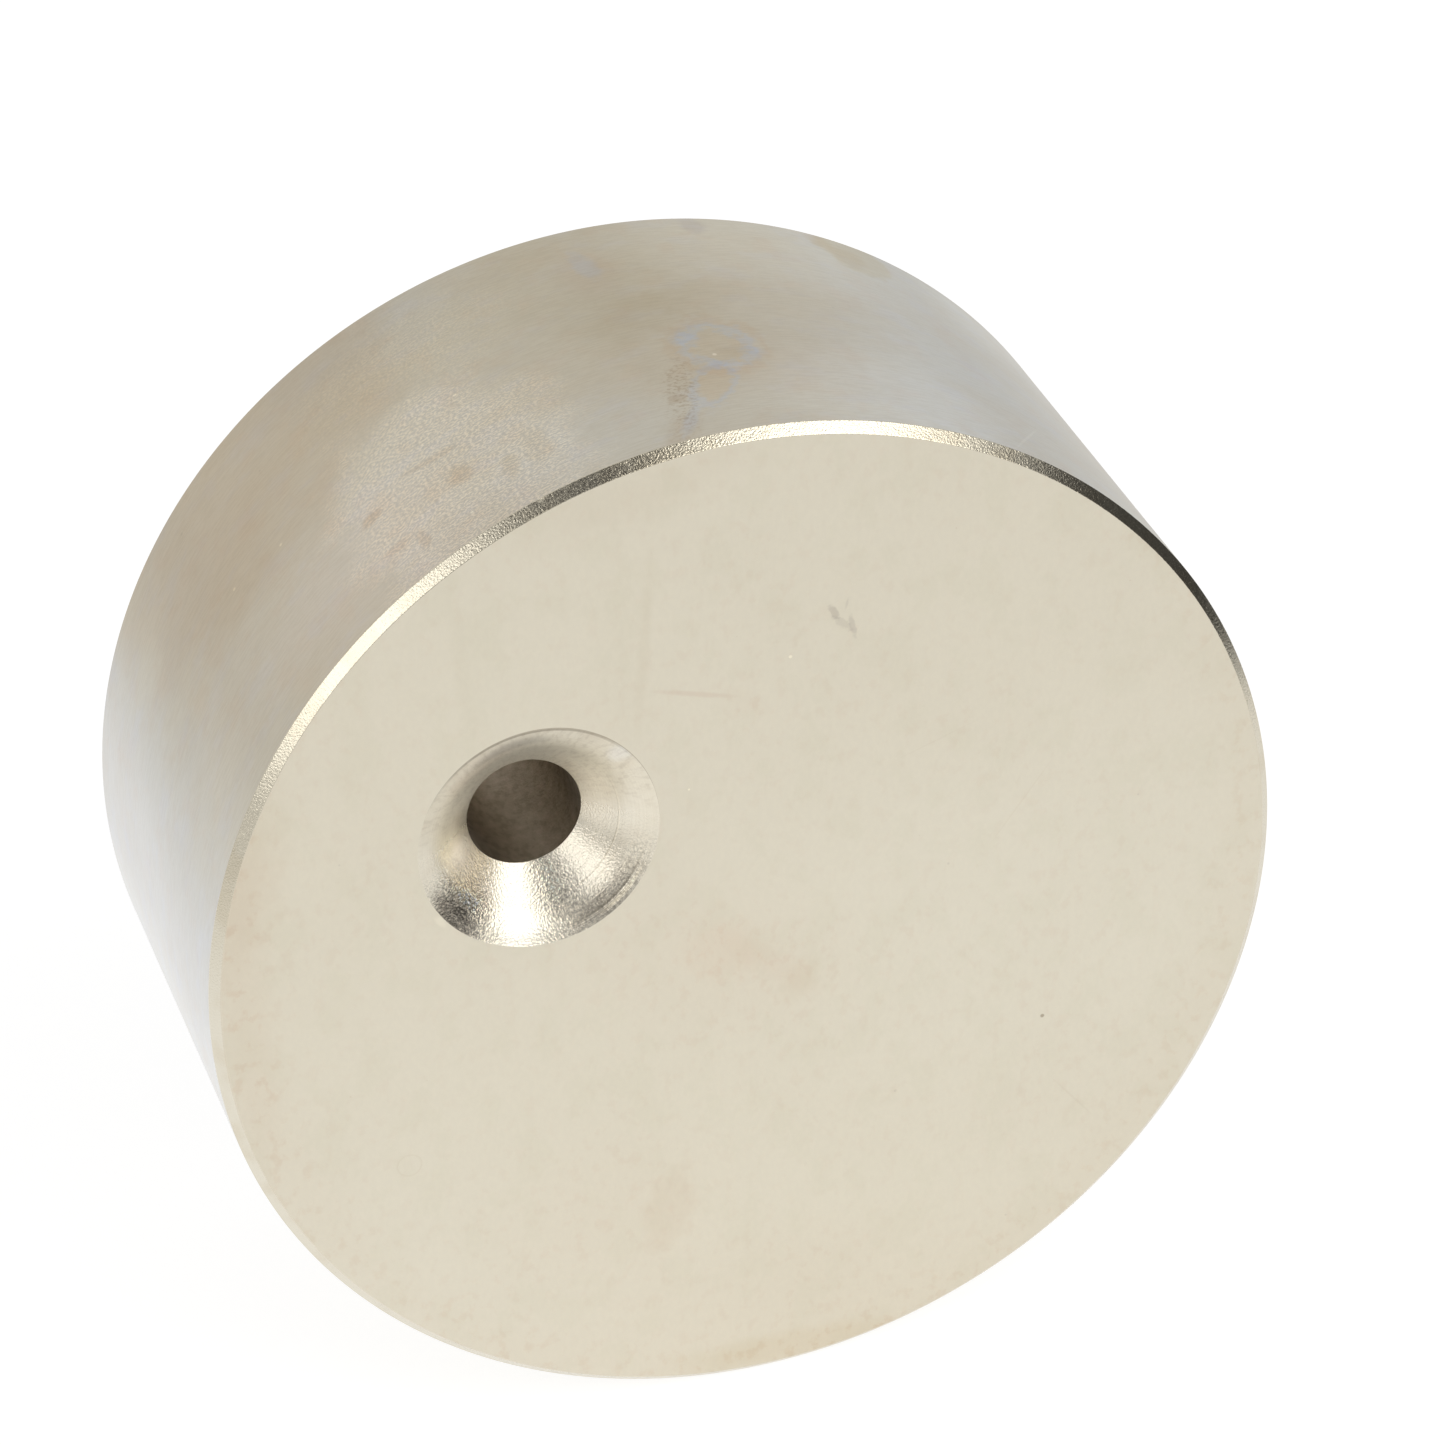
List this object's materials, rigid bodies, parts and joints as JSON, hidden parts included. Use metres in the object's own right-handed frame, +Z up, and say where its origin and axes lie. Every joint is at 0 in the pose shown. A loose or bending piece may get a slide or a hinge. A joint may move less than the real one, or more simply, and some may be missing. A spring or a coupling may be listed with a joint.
{
  "type": "magnet fishing magnet",
  "caption": "Nickel-plated disc magnet for magnet fishing, with an off-centre through hole countersunk on its working face for the fixing screw.",
  "frame": {"origin": "centre of the disc, halfway through its thickness", "axes": "+Y along the disc's axis from the countersunk working face to the back, +Z up with the disc standing on its rim, +X to the right when facing the working face"},
  "size_m": [0.08, 0.035, 0.08],
  "materials": {
    "nickel_plating": "satin nickel plating, warm grey, with faint handling and water stains"
  },
  "bodies": {
    "root": {"disc_magnet": "nickel_plating"}
  },
  "joints": []
}
